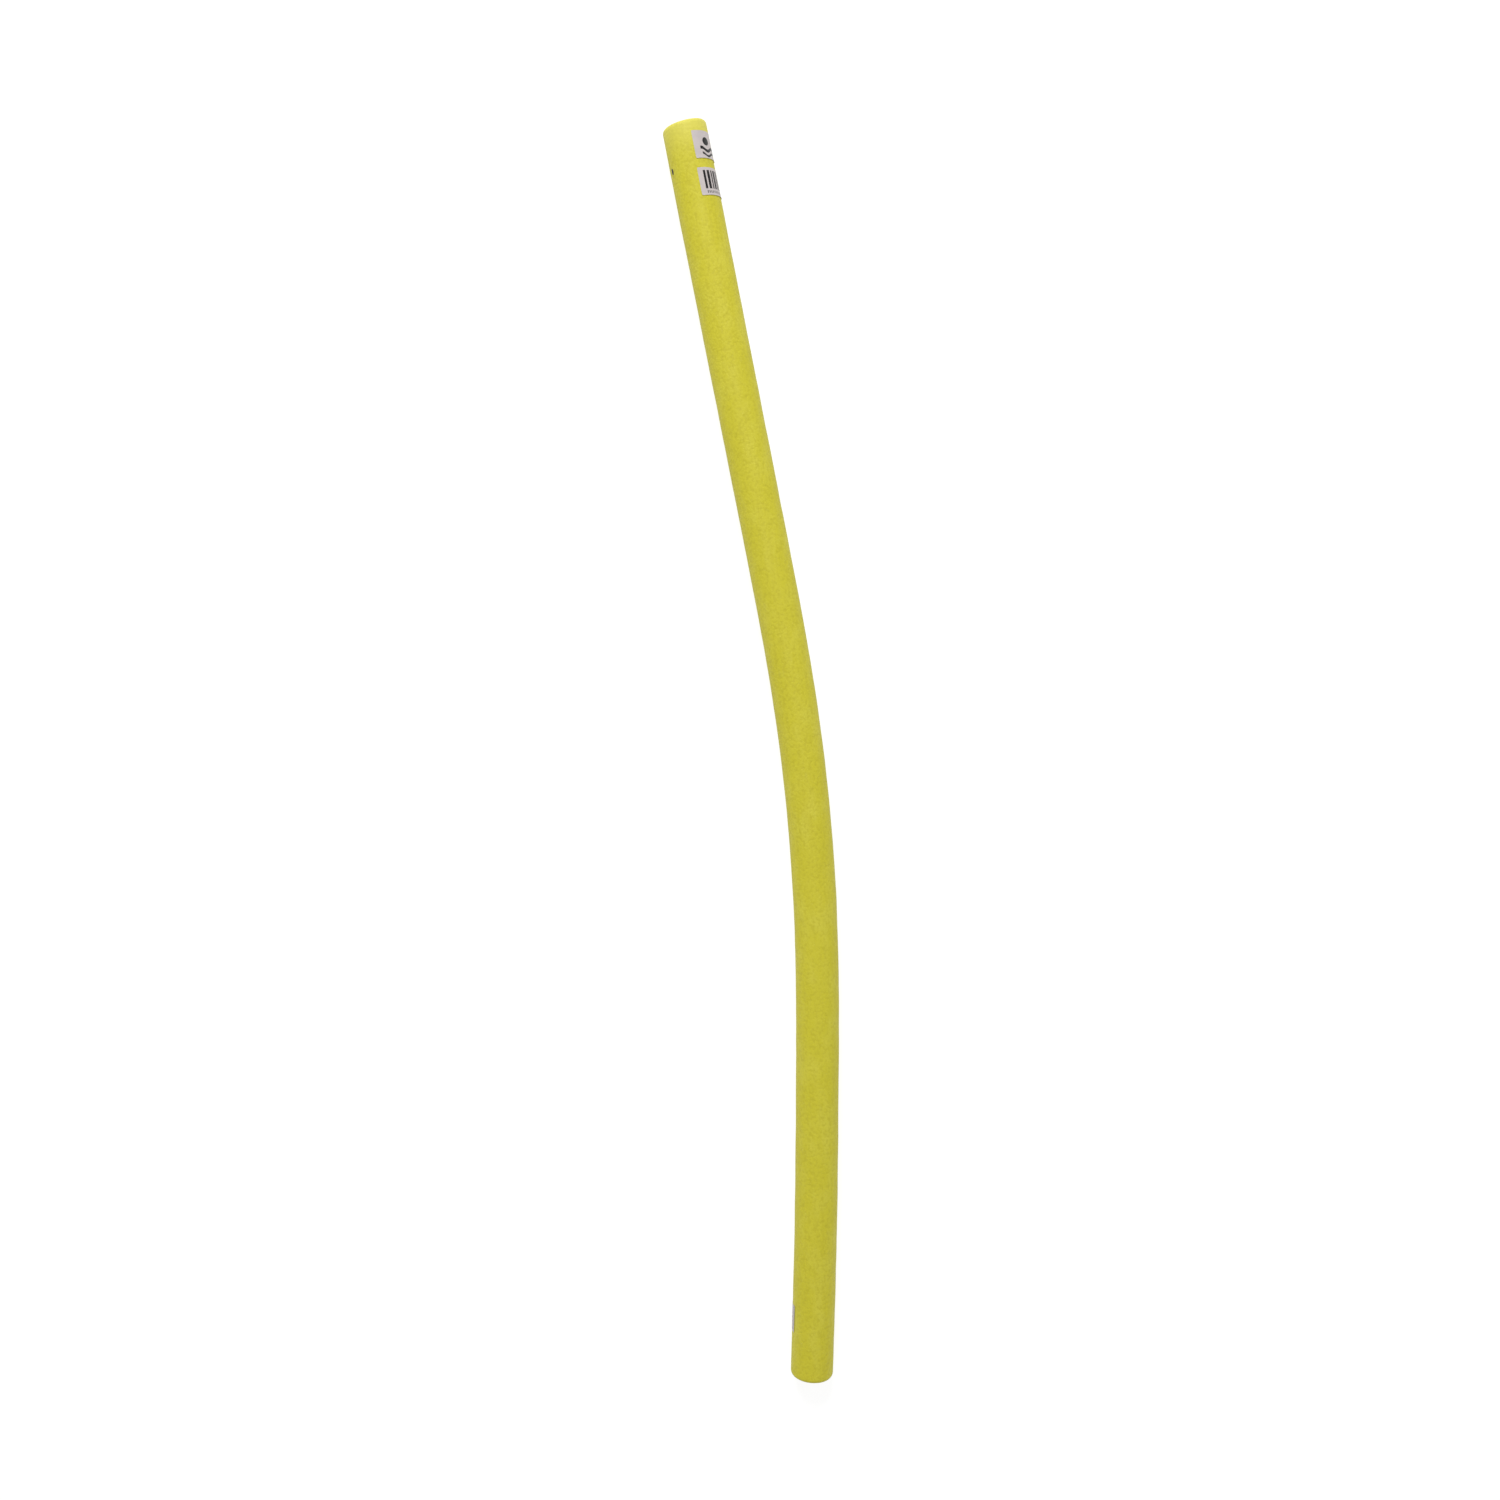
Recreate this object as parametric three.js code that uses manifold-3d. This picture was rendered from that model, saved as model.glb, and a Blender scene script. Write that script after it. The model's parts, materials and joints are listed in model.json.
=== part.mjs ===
// A foam swim noodle, lying on a flat floor with the slight bend that it keeps from storage.
// Millimetres, +Z up, +X towards the labelled end, the floor at z = 0.
//
// The noodle is one length of hollow closed-cell foam. Here it is cut into short sections, each
// hinged to the next about an upright line through its middle, so that it can bend sideways as
// the foam does. The cuts are shallow wedges: they close up on the inside of the bend.

import * as THREE from "three";
import { mergeVertices } from "three/addons/utils/BufferGeometryUtils.js";
import Module from "manifold-3d";

const { degToRad, smoothstep } = THREE.MathUtils;

// Foam tube
const LENGTH = 1600;
const OUTER_RADIUS = 27.5;
const BORE_RADIUS = 10;
const RIM_RADIUS = 6;
const BORE_CHAMFER = 1.5;
const SIDES = 20;
const RIM_STEPS = 3;

// How far each end face slopes outwards for each millimetre to the left, looking out along the
// foam, and upwards. Both ends were trimmed slightly out of square.
const PLAIN_FACE = { left: 0.031, up: 0 };
const LABELLED_FACE = { left: -0.068, up: -0.096 };

// Sections and the wedge cuts between them
const INNER_SECTIONS = 29;
const INNER_LENGTH = 48;
const END_LENGTH = (LENGTH - INNER_SECTIONS * INNER_LENGTH) / 2;
const CUT_GAP = 0.3;
const CUT_SLOPE = Math.tan(degToRad(6.9));
const CUT_REACH = OUTER_RADIUS + 3;

// Bend kept from storage: a sweep near the middle and a slight curl at the plain end, in degrees,
// each spread between two distances from the middle
const SWEEP = { angle: 11.5, from: -420, to: 300 };
const CURL = { angle: 1.5, from: -LENGTH / 2, to: -420 };

// Stickers: length along the tube, width round it, distance from the nearer end of the foam to
// the sticker's outer edge, and the angle from the top of the tube to its first edge, positive
// towards -Y
const STICKER_THICKNESS = 0.3;
const UPPER_STICKER = { length: 33.5, width: 51, fromEnd: 17.5, angle: 14.5 };
const BARCODE_STICKER = { length: 33.5, width: 51, fromEnd: 62, angle: 11 };
const LOWER_STICKER = { length: 35, width: 45, fromEnd: 61, angle: -159 };
const PRINTED_MARK = { length: 8, width: 4, fromEnd: 52.5, angle: -68 };

const FOAM_YELLOW = "#d1c646";
const STICKER_WHITE = "#d6ccd6";
const INK_BLACK = "#1d1c1a";

const wasm = await Module();
wasm.setup();

// A lathed or cut polygon touches its circle at the middle of each flat side
const SIDE_ANGLE = (2 * Math.PI) / SIDES;
const TO_CORNER = 1 / Math.cos(SIDE_ANGLE / 2);

function toSolid(geometry) {
  geometry.deleteAttribute("normal");
  geometry.deleteAttribute("uv");
  const merged = mergeVertices(geometry);
  const mesh = new wasm.Mesh({
    numProp: 3,
    vertProperties: merged.attributes.position.array,
    triVerts: Uint32Array.from(merged.index.array),
  });
  return new wasm.Manifold(mesh);
}

function toGeometry(solid) {
  const { vertProperties, triVerts } = solid.getMesh();
  const geometry = new THREE.BufferGeometry();
  geometry.setAttribute("position", new THREE.BufferAttribute(vertProperties, 3));
  geometry.setIndex(new THREE.BufferAttribute(triVerts, 1));
  geometry.computeVertexNormals();
  return geometry;
}

// A closed outline of (radius, distance along the tube), turned about the X axis with a flat
// side downwards
function lathed(outline) {
  const points = outline.getPoints(RIM_STEPS);
  points.push(points[0].clone());
  const geometry = new THREE.LatheGeometry(points, SIDES, SIDE_ANGLE / 2);
  geometry.rotateZ(-Math.PI / 2);
  return geometry;
}

function plainTube(length) {
  const bore = BORE_RADIUS * TO_CORNER;
  const outer = OUTER_RADIUS * TO_CORNER;
  const outline = new THREE.Shape();
  outline.moveTo(bore, -length / 2);
  outline.lineTo(outer, -length / 2);
  outline.lineTo(outer, length / 2);
  outline.lineTo(bore, length / 2);
  return lathed(outline);
}

// The last stretch of foam, with its rounded rim towards +X
function rimmedTube(length) {
  const bore = BORE_RADIUS * TO_CORNER;
  const outer = OUTER_RADIUS * TO_CORNER;
  const end = length / 2;
  const outline = new THREE.Shape();
  outline.moveTo(bore, -end);
  outline.lineTo(outer, -end);
  outline.lineTo(outer, end - RIM_RADIUS);
  outline.absarc(outer - RIM_RADIUS, end - RIM_RADIUS, RIM_RADIUS, 0, Math.PI / 2);
  outline.lineTo(bore + BORE_CHAMFER, end);
  outline.lineTo(bore, end - BORE_CHAMFER);
  return lathed(outline);
}

// Slides the rim at the front of a tube along its walls, so that the end face slopes
function slopeFace(geometry, length, face) {
  const { position } = geometry.attributes;
  const wallEnd = length / 2 - RIM_RADIUS - CUT_GAP;
  for (let i = 0; i < position.count; i++) {
    if (position.getX(i) < wallEnd) continue;
    const slide = face.left * position.getY(i) + face.up * position.getZ(i);
    position.setX(i, position.getX(i) + slide);
  }
  return geometry;
}

// The upright block that a section is cut from. A hinged end has a ridge on the hinge line and
// slopes back to each side; a free end stops past the foam.
function cutBlock(length, frontIsHinged) {
  const back = -length / 2 + CUT_GAP / 2;
  const front = frontIsHinged ? -back : -back + CUT_REACH;
  const slope = CUT_REACH * CUT_SLOPE;
  const outline = new THREE.Shape();
  outline.moveTo(back, 0);
  outline.lineTo(back + slope, -CUT_REACH);
  outline.lineTo(front - slope, -CUT_REACH);
  outline.lineTo(front, 0);
  outline.lineTo(front - slope, CUT_REACH);
  outline.lineTo(back + slope, CUT_REACH);
  const geometry = new THREE.ExtrudeGeometry(outline, {
    depth: 2 * CUT_REACH,
    bevelEnabled: false,
  });
  geometry.translate(0, 0, -CUT_REACH);
  return geometry;
}

function cutFrom(tube, block) {
  return toGeometry(toSolid(tube).intersect(toSolid(block)));
}

function innerGeometry() {
  return cutFrom(plainTube(INNER_LENGTH), cutBlock(INNER_LENGTH, true));
}

function endGeometry(face) {
  const tube = slopeFace(rimmedTube(END_LENGTH), END_LENGTH, face);
  return cutFrom(tube, cutBlock(END_LENGTH, false));
}

// A sticker wrapped round the foam, as a thin shell that runs along X from x = 0
function stickerGeometry({ length, width, angle }) {
  const inner = OUTER_RADIUS * TO_CORNER + CUT_GAP;
  const start = Math.PI + degToRad(angle);
  const finish = start + width / OUTER_RADIUS;
  const outline = new THREE.Shape();
  outline.absarc(0, 0, inner + STICKER_THICKNESS, start, finish);
  outline.absarc(0, 0, inner, finish, start, true);
  const geometry = new THREE.ExtrudeGeometry(outline, {
    depth: length,
    bevelEnabled: false,
    curveSegments: 10,
  });
  geometry.rotateY(Math.PI / 2);
  return geometry;
}

function namedMesh(name, geometry, color, roughness) {
  const material = new THREE.MeshStandardMaterial({ color, roughness, metalness: 0 });
  const mesh = new THREE.Mesh(geometry, material);
  mesh.name = name;
  return mesh;
}

function restHeading(along) {
  const sweep = SWEEP.angle * smoothstep(along, SWEEP.from, SWEEP.to);
  const curl = CURL.angle * smoothstep(along, CURL.from, CURL.to);
  return degToRad(sweep + curl);
}

// Each section's length, heading and middle, end to end from the plain end
function layOut() {
  const lengths = [END_LENGTH, ...Array(INNER_SECTIONS).fill(INNER_LENGTH), END_LENGTH];
  const tip = new THREE.Vector3();
  let along = -LENGTH / 2;
  return lengths.map((length) => {
    const heading = restHeading(along + length / 2);
    const step = new THREE.Vector3(Math.cos(heading), Math.sin(heading), 0);
    const middle = tip.clone().addScaledVector(step, length / 2);
    tip.addScaledVector(step, length);
    along += length;
    return { length, heading, middle };
  });
}

// One group for each section, with its X axis along the foam
function sectionFrames() {
  return layOut().map(({ heading, middle }) => {
    const frame = new THREE.Group();
    frame.position.copy(middle);
    frame.rotation.z = heading;
    return frame;
  });
}

function addSections(frames) {
  const inner = innerGeometry();
  const geometries = frames.map(() => inner.clone());
  geometries[0] = endGeometry(PLAIN_FACE).rotateZ(Math.PI);
  geometries[frames.length - 1] = endGeometry(LABELLED_FACE);
  frames.forEach((frame, i) => {
    const name = `foam_section_${String(i + 1).padStart(2, "0")}`;
    frame.add(namedMesh(name, geometries[i], FOAM_YELLOW, 0.9));
  });
}

// side is 1 for the labelled end and -1 for the plain end
function addSticker(frame, side, name, sticker, color) {
  const outerEdge = side * (END_LENGTH / 2 - sticker.fromEnd);
  const mesh = namedMesh(name, stickerGeometry(sticker), color, 0.5);
  mesh.position.x = Math.min(outerEdge, outerEdge - side * sticker.length);
  frame.add(mesh);
}

// Lays the noodle's chord along X and centres its box over the origin, on the floor
function settled(frames) {
  const straight = new THREE.Group().add(...frames);
  const chord = frames.at(-1).position.clone().sub(frames[0].position);
  straight.rotation.z = -Math.atan2(chord.y, chord.x);
  const noodle = new THREE.Group().add(straight);
  const box = new THREE.Box3().setFromObject(noodle, true);
  const centre = box.getCenter(new THREE.Vector3());
  straight.position.set(-centre.x, -centre.y, -box.min.z);
  return noodle;
}

const frames = sectionFrames();
addSections(frames);
addSticker(frames.at(-1), 1, "upper_sticker", UPPER_STICKER, STICKER_WHITE);
addSticker(frames.at(-1), 1, "barcode_sticker", BARCODE_STICKER, STICKER_WHITE);
addSticker(frames.at(-1), 1, "printed_mark", PRINTED_MARK, INK_BLACK);
addSticker(frames[0], -1, "lower_sticker", LOWER_STICKER, STICKER_WHITE);

export default settled(frames);
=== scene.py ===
"""A yellow foam swim noodle with three stickers, lying on a pale floor under soft light.

The foam is one continuous skin in stretches. Each stretch runs from the middle of one CAD section
to the middle of the next and follows the noodle's curved centreline through the hinge between
them. Lengths are in metres.
"""

import json
import math
from contextlib import contextmanager

import bmesh
import bpy
from mathutils import Matrix, Vector


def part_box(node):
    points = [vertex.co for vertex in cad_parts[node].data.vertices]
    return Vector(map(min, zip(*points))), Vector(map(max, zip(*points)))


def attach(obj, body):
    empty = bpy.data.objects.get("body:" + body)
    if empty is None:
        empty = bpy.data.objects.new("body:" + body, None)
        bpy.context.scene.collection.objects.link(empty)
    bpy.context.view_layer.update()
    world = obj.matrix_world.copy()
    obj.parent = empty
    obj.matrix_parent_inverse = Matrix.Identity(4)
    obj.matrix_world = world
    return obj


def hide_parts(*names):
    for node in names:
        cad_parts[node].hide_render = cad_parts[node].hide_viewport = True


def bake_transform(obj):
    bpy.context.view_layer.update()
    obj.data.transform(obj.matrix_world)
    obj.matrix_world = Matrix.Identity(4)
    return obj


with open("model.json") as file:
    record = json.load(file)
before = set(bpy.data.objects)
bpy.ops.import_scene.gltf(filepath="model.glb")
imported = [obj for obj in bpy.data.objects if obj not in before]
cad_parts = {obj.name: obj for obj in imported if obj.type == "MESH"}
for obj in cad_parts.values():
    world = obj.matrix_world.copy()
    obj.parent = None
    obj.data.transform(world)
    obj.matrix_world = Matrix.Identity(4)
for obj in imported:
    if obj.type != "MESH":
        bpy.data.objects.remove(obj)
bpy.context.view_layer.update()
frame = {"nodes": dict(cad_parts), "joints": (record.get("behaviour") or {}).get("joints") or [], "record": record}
record = frame["record"]
joints = sorted(frame["joints"], key=lambda joint: joint["name"])
mounts = {mount["name"]: mount for mount in record["mounts"]}

# ---------------------------------------------------------------- sizes from the frame

low_corner, high_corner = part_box(f"foam_section_{len(joints) // 2 + 1:02d}")
OUTER = (high_corner.z - low_corner.z) / 2
AXIS_HEIGHT = OUTER


def face_middle(mount):
    """The middle of a ring-shaped end face, from the mount above it on the ring."""
    place, outward = Vector(mount["pos_m"]), Vector(mount["axis"])
    up_the_face = Vector((0, 0, 1)) - outward * outward.z
    return place + up_the_face * ((AXIS_HEIGHT - place.z) / up_the_face.z)


PIVOTS = [Vector((*joint["pos_m"][:2], AXIS_HEIGHT)) for joint in joints]
PLAIN_TIP = face_middle(mounts["plain_end"])
LABELLED_TIP = face_middle(mounts["labelled_end"])
ROUTE = [PLAIN_TIP, *PIVOTS, LABELLED_TIP]
INNER_LENGTH = (PIVOTS[1] - PIVOTS[0]).length
END_LENGTH = (PIVOTS[0] - PLAIN_TIP).length
END_STRETCH = END_LENGTH + INNER_LENGTH / 2

# The hollow core, the rounded rims, and how finely the foam's walls are divided
CORE = 0.010
RIM = 0.006
CORE_EDGE = 0.0015
AROUND = 96
RING_SPACING = 0.002
CORE_RING_SPACING = 0.016

# Points closer than this count as touching
TOUCH = 1e-5

# How far the foam's skin swells and sinks, and over what distance
SWELL = 0.0006
SWELL_SIZE = 0.035

# How far the labelled end's painted highlight reaches along the foam: a paler tint painted into the colour where
# the light falls strongest
PAINTED_HIGHLIGHT_REACH = 0.050

# Stickers, and the loose edge of each: how far it stands off and how far in the glue has let go
STICKER_LIFT = 0.00008
STICKER_THICKNESS = 0.00014
STICKER_CELL = 0.002
STICKER_CORNER = 0.0012
LOOSE_LIFT = 0.0005
LOOSE_REACH = 0.006

# How far past its hinge the bend zone of each end section reaches
END_GIVE = 0.009

# ---------------------------------------------------------------- tools


def deselect():
    bpy.ops.object.select_all(action="DESELECT")


def make_active(piece):
    deselect()
    piece.select_set(True)
    bpy.context.view_layer.objects.active = piece


@contextmanager
def editing(piece):
    make_active(piece)
    bpy.ops.object.mode_set(mode="EDIT")
    yield
    bpy.ops.object.mode_set(mode="OBJECT")


def choose(piece, kind, wanted):
    """Selects the vertices, edges or faces that a test picks out, in edit mode."""
    modes = {"verts": "VERT", "edges": "EDGE", "faces": "FACE"}
    bpy.ops.mesh.select_mode(type=modes[kind])
    bpy.ops.mesh.select_all(action="DESELECT")
    mesh = bmesh.from_edit_mesh(piece.data)
    for element in getattr(mesh, kind):
        if wanted(element):
            element.select_set(True)
    mesh.select_flush_mode()
    bmesh.update_edit_mesh(piece.data)


def radius_of(point):
    return math.hypot(point.y, point.z)


def edge_between(test):
    """A test for edges whose two ends both pass a test."""
    return lambda edge: all(test(vertex.co) for vertex in edge.verts)


def runs_along(edge):
    step = edge.verts[1].co - edge.verts[0].co
    return abs(step.x) > 0.9 * step.length


def apply_modifier(piece, kind, **settings):
    modifier = piece.modifiers.new(kind.lower(), kind)
    for name, value in settings.items():
        setattr(modifier, name, value)
    make_active(piece)
    bpy.ops.object.modifier_apply(modifier=modifier.name)


def apply_place(piece):
    make_active(piece)
    bpy.ops.object.transform_apply(location=True, rotation=True, scale=True)


# ---------------------------------------------------------------- materials


class Shade:
    """One number in a material. Arithmetic on it adds Math nodes."""

    def __init__(self, finish, socket):
        self.finish = finish
        self.socket = socket

    def __add__(self, other):
        return self.finish.maths("ADD", self, other)

    def __radd__(self, other):
        return self.finish.maths("ADD", other, self)

    def __sub__(self, other):
        return self.finish.maths("SUBTRACT", self, other)

    def __rsub__(self, other):
        return self.finish.maths("SUBTRACT", other, self)

    def __mul__(self, other):
        return self.finish.maths("MULTIPLY", self, other)

    def __truediv__(self, other):
        return self.finish.maths("DIVIDE", self, other)

    def __gt__(self, other):
        return self.finish.maths("GREATER_THAN", self, other)

    def __lt__(self, other):
        return self.finish.maths("LESS_THAN", self, other)

    def __abs__(self):
        return self.finish.maths("ABSOLUTE", self)

    def between(self, low, high):
        return (self > low) * (self < high)

    def rise(self, low, high):
        """0 below low, 1 above high and smooth in between."""
        settings = {"interpolation_type": "SMOOTHSTEP"}
        values = {"Value": self, "From Min": low, "From Max": high}
        node = self.finish.node("ShaderNodeMapRange", settings, values)
        return Shade(self.finish, node.outputs["Result"])

    def fall(self, low, high):
        """1 below low, 0 above high and smooth in between."""
        return 1 - self.rise(low, high)


class Finish:
    """A material under construction, on one Principled shader."""

    def __init__(self, name, **constants):
        self.material = bpy.data.materials.new(name)
        self.material.use_nodes = True
        self.tree = self.material.node_tree
        self.shader = self.tree.nodes["Principled BSDF"]
        self.places = self.node("ShaderNodeTexCoord")
        for socket, value in constants.items():
            self.feed(socket.replace("_", " "), value)

    def put(self, socket, value):
        source = value.socket if isinstance(value, Shade) else value
        if isinstance(source, bpy.types.NodeSocket):
            self.tree.links.new(source, socket)
        else:
            socket.default_value = source

    def node(self, kind, settings=None, values=None):
        node = self.tree.nodes.new(kind)
        for name, value in (settings or {}).items():
            setattr(node, name, value)
        for name, value in (values or {}).items():
            self.put(node.inputs[name], value)
        return node

    def feed(self, socket, value):
        self.put(self.shader.inputs[socket], value)

    def maths(self, operation, *values):
        settings = {"operation": operation}
        node = self.node("ShaderNodeMath", settings, dict(enumerate(values)))
        return Shade(self, node.outputs[0])

    def stretched(self, source, scale):
        values = {"Vector": source, "Scale": scale}
        return self.node("ShaderNodeMapping", None, values).outputs["Vector"]

    def noise(self, size, detail=2.0, along=1.0):
        """Cloudy variation, 0 to 1. size is a feature's size, along stretches it along X."""
        place = self.stretched(self.places.outputs["Object"], (1 / along, 1, 1))
        values = {"Vector": place, "Scale": 1 / size, "Detail": detail}
        return Shade(self, self.node("ShaderNodeTexNoise", None, values).outputs[0])

    def cells(self, size, feature="F1"):
        """Distance into packed cells of about that size, in cell widths."""
        settings = {"feature": feature}
        values = {"Vector": self.places.outputs["Object"], "Scale": 1 / size}
        node = self.node("ShaderNodeTexVoronoi", settings, values)
        return Shade(self, node.outputs["Distance"])

    def mix(self, first, second, amount):
        settings = {"data_type": "RGBA"}
        values = {0: amount, 6: first, 7: second}
        return self.node("ShaderNodeMix", settings, values).outputs[2]

    def bump(self, height, distance, strength=1.0):
        values = {"Height": height, "Distance": distance, "Strength": strength}
        self.feed("Normal", self.node("ShaderNodeBump", None, values).outputs["Normal"])


def colour(red, green, blue):
    return (red, green, blue, 1.0)


FOAM = colour(0.556, 0.506, 0.024)
FOAM_PALE = colour(0.640, 0.600, 0.080)
# Painted highlight: the paler colour the foam is given towards the labelled end, where the light falls strongest
FOAM_PAINTED_HIGHLIGHT = colour(0.720, 0.665, 0.130)
FOAM_DEEP = colour(0.470, 0.415, 0.018)
FOAM_SCUFF = colour(0.480, 0.440, 0.070)
FOAM_CUT = colour(0.620, 0.580, 0.090)
PAPER = colour(0.525, 0.474, 0.462)
PAPER_SHADE = colour(0.462, 0.420, 0.422)
PRINT_BLACK = colour(0.006, 0.006, 0.006)


def foam_skin():
    """The smooth outside of extruded foam: pebbled by the cells under the skin, with faint
    lengthwise streaks, soft dents and a few burst bubbles, and a painted highlight that pales it towards the
    labelled end."""
    foam = Finish("foam_skin", Specular_IOR_Level=0.35)
    pebbles = 1 - foam.cells(0.0030, "SMOOTH_F1")
    grain = 1 - foam.cells(0.0013, "SMOOTH_F1")
    pores = foam.noise(0.0006, 3.0)
    patches = foam.noise(0.022, 3.0, along=2.0)
    streaks = foam.noise(0.0035, 2.0, along=14.0)
    dents = foam.noise(0.012, 1.0)
    burst = foam.cells(0.0090, "F1").fall(0.05, 0.09)
    scuffs = foam.noise(0.014, 5.0, along=2.5).rise(0.66, 0.76)
    tone = foam.mix(FOAM, FOAM_PALE, patches.rise(0.40, 0.75) * 0.36)
    tone = foam.mix(tone, FOAM_DEEP, streaks.rise(0.46, 0.74) * 0.24)
    tone = foam.mix(tone, FOAM_DEEP, pebbles.fall(0.30, 0.62) * 0.52)
    tone = foam.mix(tone, FOAM_PALE, grain.rise(0.62, 0.90) * 0.30)
    tone = foam.mix(tone, FOAM_SCUFF, scuffs * 0.25)
    tone = foam.mix(tone, FOAM_PALE, burst * 0.6)
    place = foam.node("ShaderNodeSeparateXYZ", None, {0: foam.places.outputs["Object"]})
    along = Shade(foam, place.outputs[0])
    # Painted highlight: the base colour pales towards the labelled end, where the light falls strongest
    tone = foam.mix(tone, FOAM_PAINTED_HIGHLIGHT, along.rise(LABELLED_TIP.x - PAINTED_HIGHLIGHT_REACH, LABELLED_TIP.x) * 0.62)
    foam.feed("Base Color", tone)
    foam.feed("Roughness", 0.56 + pores * 0.12 + scuffs * 0.1)
    height = pebbles * 1.2 + grain * 0.35 + pores * 0.20 + dents * 1.8 - burst * 0.4
    foam.bump(height, 0.00045, 0.75)
    return foam.material


def foam_cut():
    """The trimmed end face: paler foam with its cells cut open, and painted shade in the cells' hollows."""
    foam = Finish("foam_cut_face", Specular_IOR_Level=0.20)
    walls = foam.cells(0.0016, "DISTANCE_TO_EDGE")
    fine = foam.noise(0.0006, 3.0)
    hollow = walls.rise(0.04, 0.32)
    # Painted shade: the hollows of the cut-open cells are darkened in the base colour
    tone = foam.mix(FOAM_CUT, FOAM_DEEP, hollow * 0.55)
    foam.feed("Base Color", tone)
    foam.feed("Roughness", 0.78 + fine * 0.14)
    foam.bump(1.2 - hollow + fine * 0.3, 0.0005, 0.8)
    return foam.material


def paper_finish(name):
    """Sticker paper, off-white with a slight satin and a faint fibre. Returns the finish and its
    colour, ready for printing."""
    paper = Finish(name, Specular_IOR_Level=0.35)
    fibre = paper.noise(0.0006, 4.0)
    blotches = paper.noise(0.010, 2.0)
    tone = paper.mix(PAPER, PAPER_SHADE, blotches.rise(0.40, 0.75) * 0.5)
    paper.bump(fibre + blotches * 2.0, 0.00004, 0.5)
    return paper, tone


def printed(paper, tone, ink):
    """Puts an ink mask over the paper and finishes the material."""
    wear = paper.noise(0.0009, 3.0).rise(0.68, 0.78) * 0.12
    cover = ink * (1 - wear)
    paper.feed("Base Color", paper.mix(tone, PRINT_BLACK, cover))
    paper.feed("Roughness", 0.52 - cover * 0.12)
    return paper.material


def printed_place(paper, width, length):
    """Millimetres across the sticker, round the foam, and up it, along the foam."""
    parts = paper.node("ShaderNodeSeparateXYZ", None, {0: paper.places.outputs["UV"]})
    across, up = (Shade(paper, parts.outputs[axis]) for axis in (0, 1))
    return across * (width * 1000), up * (length * 1000)


def waves_sticker(width, length):
    """A made-up pictogram: a round sun over two bold rolling waves."""
    paper, tone = paper_finish("sticker_waves")
    across, up = printed_place(paper, width, length)
    aside, above = across - 18.0, up - 20.6
    ink = aside * aside + above * above < 5.0 * 5.0
    for level, thickness, start in ((11.0, 3.8, 8.0), (4.8, 2.8, 10.0)):
        crest = paper.maths("SINE", across * (2 * math.pi / 19.0) + level) * 2.0
        stroke = abs(up - level - crest) < thickness / 2
        ink = ink + stroke * across.between(start, 44.0)
    return printed(paper, tone, ink.rise(0.2, 0.8))


# Where each stripe of the made-up code starts and how wide it is, in millimetres
STRIPES = (
    (6.6, 3.0), (11.8, 3.8), (17.6, 2.0), (21.2, 3.6), (26.6, 2.8), (31.0, 1.6), (34.2, 3.0),
    (38.8, 2.2), (42.4, 2.6),
)


def bars_sticker(width, length):
    """A made-up stripe code that encodes nothing, with a row of small ticks below it."""
    paper, tone = paper_finish("sticker_bars")
    across, up = printed_place(paper, width, length)
    stripes = 0
    for start, thickness in STRIPES:
        stripes = across.between(start, start + thickness) + stripes
    bars = stripes * up.between(7.8, 30.0)
    tick = paper.maths("FRACT", across / 2.6) < 0.55
    ticks = tick * across.between(6.6, 45.0) * up.between(2.4, 5.6)
    return printed(paper, tone, bars + ticks * 0.75)


def lines_sticker(width, length):
    """A plain sticker with a thin printed frame and short rules."""
    paper, tone = paper_finish("sticker_lines")
    across, up = printed_place(paper, width, length)
    aside, above = abs(across - width * 500), abs(up - length * 500)
    half_width, half_length = width * 500 - 3.0, length * 500 - 3.0
    frame_edge = (aside < half_width) * (above < half_length)
    frame_inside = (aside < half_width - 0.6) * (above < half_length - 0.6)
    rule = (paper.maths("FRACT", above / 5.0) < 0.22) * (above < 10.0)
    rules = rule * (aside < half_width - 4.0)
    return printed(paper, tone, frame_edge - frame_inside + rules * 0.8)


def ink_finish():
    """Printing ink laid straight on the foam, broken up where the foam's grain is."""
    ink = Finish("ink_on_foam", Specular_IOR_Level=0.4)
    grain = ink.cells(0.0009, "SMOOTH_F1")
    thin = grain.rise(0.55, 0.85) * 0.12
    ink.feed("Base Color", ink.mix(PRINT_BLACK, FOAM_DEEP, thin))
    ink.feed("Roughness", 0.45 + grain * 0.25)
    ink.bump(1 - grain, 0.0001, 0.6)
    return ink.material


def floor_finish():
    """A pale, even studio floor that glows a little, as a lit sweep does."""
    floor = Finish("studio_floor", Specular_IOR_Level=0.0, Roughness=1.0)
    speck = floor.noise(0.004, 3.0)
    floor.feed("Base Color", floor.mix(colour(0.32, 0.32, 0.32), colour(0.34, 0.34, 0.34), speck))
    floor.feed("Emission Color", colour(1.0, 1.0, 1.0))
    floor.feed("Emission Strength", 0.77)
    return floor.material


# ---------------------------------------------------------------- foam

swell_clouds = bpy.data.textures.new("foam_swell", "CLOUDS")
swell_clouds.noise_scale = SWELL_SIZE
swell_clouds.noise_depth = 1


def open_tube(length):
    """The foam's outer wall and the wall of its core, open at both ends, from x = 0 along +X."""
    walls = []
    for radius in (OUTER, CORE):
        deselect()
        bpy.ops.mesh.primitive_cylinder_add(
            vertices=AROUND,
            radius=radius,
            depth=length,
            end_fill_type="NOTHING",
            location=(length / 2, 0, 0),
            rotation=(0, math.pi / 2, 0),
        )
        walls.append(bpy.context.object)
        apply_place(walls[-1])
    tube, core = walls
    with editing(core):
        bpy.ops.mesh.select_all(action="SELECT")
        bpy.ops.mesh.flip_normals()
    make_active(tube)
    core.select_set(True)
    bpy.ops.object.join()
    return tube


def close_end(tube, x):
    """Joins the outer wall to the core's wall with a flat ring at x."""
    choose(tube, "edges", edge_between(lambda point: abs(point.x - x) < TOUCH))
    bpy.ops.mesh.bridge_edge_loops()


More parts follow.
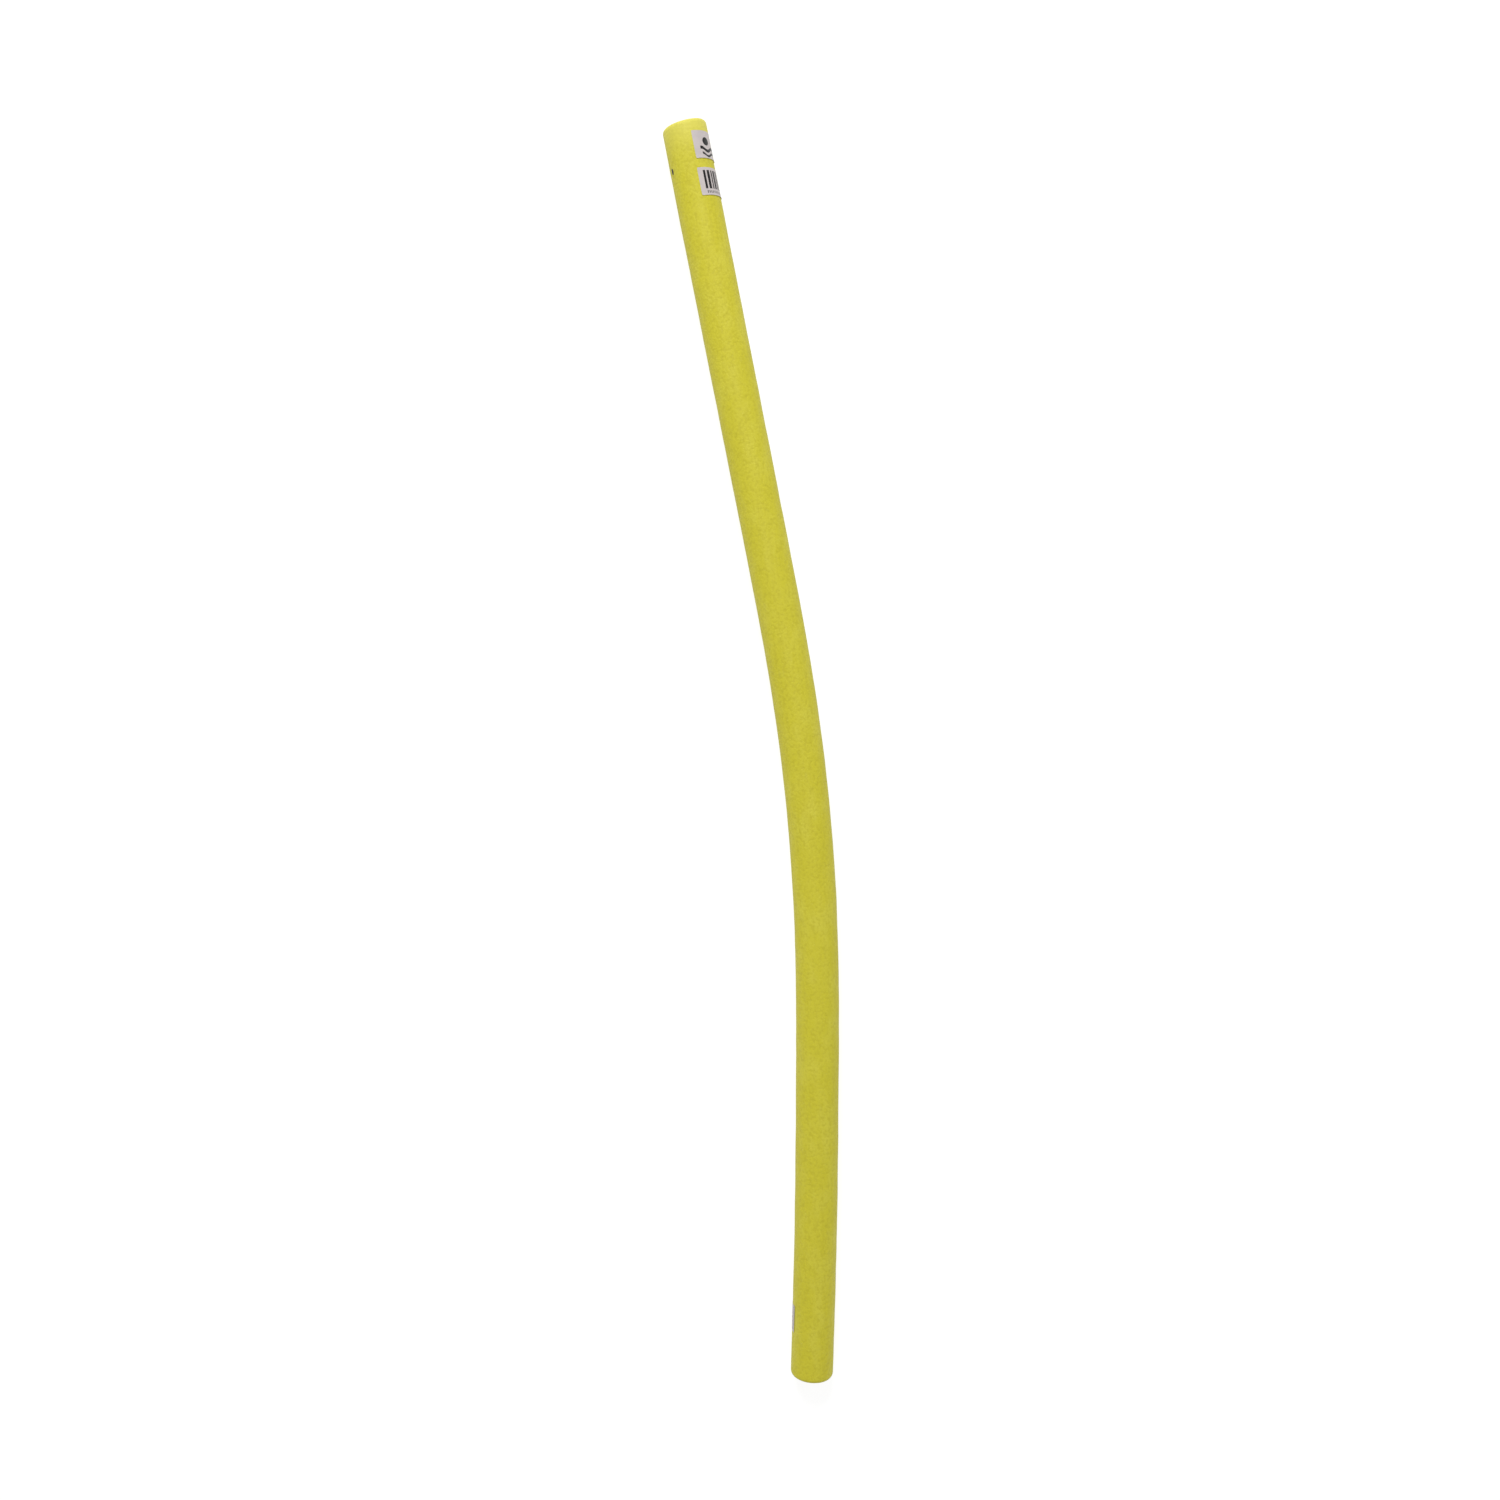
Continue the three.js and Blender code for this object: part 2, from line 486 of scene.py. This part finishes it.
def round_edge(tube, x, radius, offset, segments):
    """Rounds the circular edge of that radius at x."""

    def on_edge(point):
        return abs(point.x - x) < TOUCH and abs(radius_of(point) - radius) < TOUCH

    choose(tube, "edges", edge_between(on_edge))
    bpy.ops.mesh.bevel(offset=offset, segments=segments, affect="EDGES", clamp_overlap=False)


def add_rings(tube, radius, spacing):
    """Cuts a wall's lengthwise edges into rings."""

    def on_wall(edge):
        at_radius = edge_between(lambda point: abs(radius_of(point) - radius) < RIM / 10)
        return runs_along(edge) and at_radius(edge) and edge.calc_length() > 2 * spacing

    choose(tube, "edges", on_wall)
    mesh = bmesh.from_edit_mesh(tube.data)
    longest = max(edge.calc_length() for edge in mesh.edges if edge.select)
    bpy.ops.mesh.subdivide(number_cuts=max(1, round(longest / spacing) - 1))


def inner_stretch():
    """A straight stretch of foam one section long, open at both ends."""
    tube = open_tube(INNER_LENGTH)
    with editing(tube):
        add_rings(tube, OUTER, RING_SPACING)
        add_rings(tube, CORE, CORE_RING_SPACING)
    return tube


def face_lean(mount, way_out):
    """How far an end face is turned in plan and leans back at its top."""
    heading = way_out.normalized()
    outward, side = Vector(mount["axis"]), Vector((-heading.y, heading.x, 0))
    forward = outward.dot(heading)
    return math.atan2(outward.dot(side), forward), math.atan2(outward.z, forward)


def end_stretch(turn, lean):
    """The last stretch of foam: a rounded rim and a trimmed face at its far end, which may be
    out of square."""
    tube = open_tube(END_STRETCH)
    pivot = (END_STRETCH, 0, 0)
    with editing(tube):
        close_end(tube, END_STRETCH)
        round_edge(tube, END_STRETCH, OUTER, RIM, 8)
        round_edge(tube, END_STRETCH, CORE, CORE_EDGE, 3)
        choose(tube, "verts", lambda vertex: vertex.co.x > END_STRETCH - RIM - TOUCH)
        bpy.ops.transform.rotate(value=-turn, orient_axis="Z", center_override=pivot)
        bpy.ops.transform.rotate(value=lean, orient_axis="Y", center_override=pivot)
        add_rings(tube, OUTER, RING_SPACING)
        add_rings(tube, CORE, CORE_RING_SPACING)
    return tube


def is_cut_face(face):
    """A flat face across the foam, where it was trimmed or where two stretches meet."""
    centre = face.calc_center_median()
    return abs(face.normal.x) > 0.97 and radius_of(centre) < OUTER - RIM


def lay_route():
    """The foam's centreline, a smooth curve through the hinges."""
    curve = bpy.data.curves.new("foam_route", "CURVE")
    curve.dimensions = "3D"
    curve.twist_mode = "Z_UP"
    curve.resolution_u = 32
    spline = curve.splines.new("BEZIER")
    spline.bezier_points.add(len(ROUTE) - 1)
    for point, place in zip(spline.bezier_points, ROUTE):
        point.co = place
        point.handle_left_type = "AUTO"
        point.handle_right_type = "AUTO"
    route = bpy.data.objects.new("foam_route", curve)
    bpy.context.scene.collection.objects.link(route)
    return route


def bend_zone(number):
    """Where the foam bends at a joint: from the middle of one section to that of the next."""
    pivot = PIVOTS[number]
    before, after = ROUTE[number], ROUTE[number + 2]
    half = INNER_LENGTH / 2
    back = END_GIVE if number == 0 else half
    ahead = END_GIVE if number == len(joints) - 1 else half
    start = pivot + (before - pivot).normalized() * back
    end = pivot + (after - pivot).normalized() * ahead
    return start, end


def make_stretch(number, model, route, materials):
    """Copies a straight stretch into place along the noodle."""
    first, last = number == 0, number == len(joints) - 1
    make_active(model)
    bpy.ops.object.duplicate()
    stretch = bpy.context.object
    stretch.name = f"foam_stretch_{number + 1:02d}"
    stretch.data.name = stretch.name
    start = 0.0 if first else END_STRETCH + (number - 1) * INNER_LENGTH
    length = END_STRETCH if first or last else INNER_LENGTH
    with editing(stretch):
        bpy.ops.mesh.select_all(action="SELECT")
        if first:
            bpy.ops.transform.rotate(
                value=math.pi, orient_axis="Z", center_override=(length / 2, 0, 0)
            )
        bpy.ops.transform.translate(value=(start, 0, 0))
    apply_modifier(
        stretch,
        "DISPLACE",
        texture=swell_clouds,
        texture_coords="LOCAL",
        strength=SWELL,
        mid_level=0.5,
    )
    with editing(stretch):
        if not first:
            close_end(stretch, start)
        if not last:
            close_end(stretch, start + length)
    for material in materials:
        stretch.data.materials.append(material)
    if first or last:
        with editing(stretch):
            choose(stretch, "faces", is_cut_face)
            stretch.active_material_index = 1
            bpy.ops.object.material_slot_assign()
    apply_modifier(stretch, "CURVE", object=route, deform_axis="POS_X")
    with editing(stretch):
        bpy.ops.mesh.select_all(action="SELECT")
        bpy.ops.mesh.normals_make_consistent(inside=False)
    bpy.ops.object.shade_smooth_by_angle(angle=math.radians(50))
    parent, child = f"section_{number + 1:02d}", f"section_{number + 2:02d}"
    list(bend_zone(number))
    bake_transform(stretch)
    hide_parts(f"foam_{parent}", f"foam_{child}")
    return stretch


def make_foam():
    route = lay_route()
    plain = end_stretch(*face_lean(mounts["plain_end"], PLAIN_TIP - PIVOTS[0]))
    inner = inner_stretch()
    labelled = end_stretch(*face_lean(mounts["labelled_end"], LABELLED_TIP - PIVOTS[-1]))
    materials = [foam_skin(), foam_cut()]
    models = [plain, *[inner] * (len(joints) - 2), labelled]
    stretches = [
        make_stretch(number, model, route, materials) for number, model in enumerate(models)
    ]
    for helper in (route, plain, inner, labelled):
        bpy.data.objects.remove(helper)
    return stretches


# ---------------------------------------------------------------- stickers


class Patch:
    """Where a thin CAD shell lies on an end of the noodle: along its axis and round it."""

    def __init__(self, node, tip, pivot):
        self.outward = (tip - pivot).normalized()
        along = Vector((1, 0, 0))
        self.axis = self.outward if self.outward.dot(along) > 0 else -self.outward
        self.aside = Vector((self.axis.y, -self.axis.x, 0))
        corners = [vertex.co - tip for vertex in frame["nodes"][node].data.vertices]
        reaches = [corner.dot(self.axis) for corner in corners]
        angles = [math.atan2(corner.dot(self.aside), corner.z) for corner in corners]
        self.length = max(reaches) - min(reaches)
        self.width = (max(angles) - min(angles)) * OUTER
        self.angle = (max(angles) + min(angles)) / 2
        self.centre = tip + self.axis * (max(reaches) + min(reaches)) / 2

    def place(self):
        """Carries a sheet from the XZ plane, rolled about Z, onto the foam."""
        out = Vector((0, 0, 1)) * math.cos(self.angle) + self.aside * math.sin(self.angle)
        matrix = Matrix((self.axis.cross(out), -out, self.axis)).transposed().to_4x4()
        matrix.translation = self.centre + out * OUTER
        return matrix


def loosen_edge(sheet, towards, half):
    """Marks where the glue has let go: fully at the edge that lies towards a direction."""
    group = sheet.vertex_groups.new(name="loose_edge")
    for vertex in sheet.data.vertices:
        inset = half - vertex.co.dot(towards)
        group.add([vertex.index], max(0.0, 1 - inset / LOOSE_REACH) ** 2, "REPLACE")


def rolled_on(sheet, patch, foam, lift, thickness):
    """Rolls a flat sheet to the foam's roundness, lays it on the skin and gives it thickness."""
    apply_modifier(
        sheet, "SIMPLE_DEFORM", deform_method="BEND", deform_axis="Z", angle=patch.width / OUTER
    )
    sheet.matrix_world = patch.place()
    apply_place(sheet)
    apply_modifier(
        sheet, "SHRINKWRAP", target=foam, wrap_method="NEAREST_SURFACEPOINT",
        wrap_mode="ABOVE_SURFACE", offset=lift,
    )
    if sheet.vertex_groups:
        apply_modifier(
            sheet, "DISPLACE", vertex_group="loose_edge", strength=LOOSE_LIFT, mid_level=0
        )
    apply_modifier(sheet, "SOLIDIFY", thickness=thickness, offset=1.0)
    bpy.ops.object.shade_smooth_by_angle(angle=math.radians(40))


def body_under(node):
    """The CAD body that a sticker or mark moves with."""
    bodies = record["behaviour"]["bodies"]
    return next(body for body, nodes in bodies.items() if node in nodes)


def make_sticker(node, patch, foam, finish, loose):
    """A printed sheet with rounded corners, laid on the foam, with one loose edge."""
    deselect()
    cells = [round(size / STICKER_CELL) for size in (patch.width, patch.length)]
    bpy.ops.mesh.primitive_grid_add(x_subdivisions=cells[0], y_subdivisions=cells[1], size=1)
    sheet = bpy.context.object
    sheet.name = f"{node}_sheet"
    sheet.scale = (patch.width, patch.length, 1)
    sheet.rotation_euler = (math.pi / 2, 0, 0)
    apply_place(sheet)
    with editing(sheet):
        choose(sheet, "verts", lambda vertex: len(vertex.link_edges) == 2)
        bpy.ops.mesh.bevel(offset=STICKER_CORNER, segments=3, affect="VERTICES")
    loosen_edge(sheet, loose, abs(loose.x) * patch.width / 2 + abs(loose.z) * patch.length / 2)
    rolled_on(sheet, patch, foam, STICKER_LIFT, STICKER_THICKNESS)
    sheet.data.materials.append(finish(patch.width, patch.length))
    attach(sheet, body_under(node))
    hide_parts(node)


def make_printed_mark(patch, foam):
    """A small blot of ink with an uneven outline."""
    deselect()
    bpy.ops.mesh.primitive_circle_add(vertices=28, radius=0.5, fill_type="NGON")
    mark = bpy.context.object
    mark.name = "printed_mark_ink"
    mark.scale = (patch.width, patch.length, 1)
    mark.rotation_euler = (math.pi / 2, 0, 0)
    apply_place(mark)
    with editing(mark):
        bpy.ops.mesh.select_all(action="SELECT")
        bpy.ops.transform.vertex_random(offset=0.0007, seed=4)
        bpy.ops.mesh.inset(thickness=0.0006)
        bpy.ops.mesh.poke()
    rolled_on(mark, patch, foam, STICKER_LIFT / 2, STICKER_THICKNESS / 2)
    mark.data.materials.append(ink_finish())
    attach(mark, body_under("printed_mark"))
    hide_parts("printed_mark")


def make_stickers(stretches):
    labelled = (LABELLED_TIP, PIVOTS[-1])
    plain = (PLAIN_TIP, PIVOTS[0])
    lower_edge, side_edge = Vector((0, 0, -1)), Vector((1, 0, 0))
    for node, end, foam, finish, loose in (
        ("upper_sticker", labelled, stretches[-1], waves_sticker, lower_edge),
        ("barcode_sticker", labelled, stretches[-1], bars_sticker, lower_edge),
        ("lower_sticker", plain, stretches[0], lines_sticker, side_edge),
    ):
        make_sticker(node, Patch(node, *end), foam, finish, loose)
    make_printed_mark(Patch("printed_mark", *labelled), stretches[-1])


# ---------------------------------------------------------------- studio

FLOOR_SIZE = 40.0

CAMERA_TARGET = Vector((0.02205, 0.0316, 0))
CAMERA_DISTANCE = 1.798
CAMERA_LEAN = math.radians(4.062)
CAMERA_TURN = math.radians(-5.901)
CAMERA_LENS = 33.6
CAMERA_FILM = 36.0


def make_floor():
    """A wide plain floor under the noodle."""
    deselect()
    bpy.ops.mesh.primitive_plane_add(size=FLOOR_SIZE)
    floor = bpy.context.object
    floor.name = "studio_floor"
    floor.data.materials.append(floor_finish())


def add_light(name, place, target, size, power):
    lamp = bpy.data.lights.new(name, "AREA")
    lamp.shape = "DISK"
    lamp.size = size
    lamp.energy = power
    light = bpy.data.objects.new(name, lamp)
    light.location = place
    light.rotation_euler = (Vector(target) - Vector(place)).to_track_quat("-Z", "Y").to_euler()
    bpy.context.scene.collection.objects.link(light)


def make_lights():
    add_light("key_softbox", (4.0, 0.1, 3.5), (0.2, 0, 0), 1.8, 164)
    add_light("top_softbox", (0.4, -0.25, 4.5), (0.1, 0, 0), 3.2, 38)
    world = bpy.data.worlds.new("pale_room")
    world.use_nodes = True
    background = world.node_tree.nodes["Background"]
    background.inputs["Color"].default_value = colour(1.0, 1.0, 1.0)
    background.inputs["Strength"].default_value = 0.49
    bpy.context.scene.world = world


def make_camera():
    """Looks down on the noodle from above its middle, leaning towards the labelled end."""
    data = bpy.data.cameras.new("camera")
    data.lens = CAMERA_LENS
    data.sensor_width = CAMERA_FILM
    camera = bpy.data.objects.new("camera", data)
    camera.rotation_euler = (-CAMERA_LEAN, 0, CAMERA_TURN - math.pi / 2)
    back = camera.rotation_euler.to_matrix() @ Vector((0, 0, 1))
    camera.location = CAMERA_TARGET + back * CAMERA_DISTANCE
    bpy.context.scene.collection.objects.link(camera)
    bpy.context.scene.camera = camera


make_stickers(make_foam())
make_floor()
make_lights()
make_camera()
bpy.context.scene.view_settings.view_transform = "Standard"
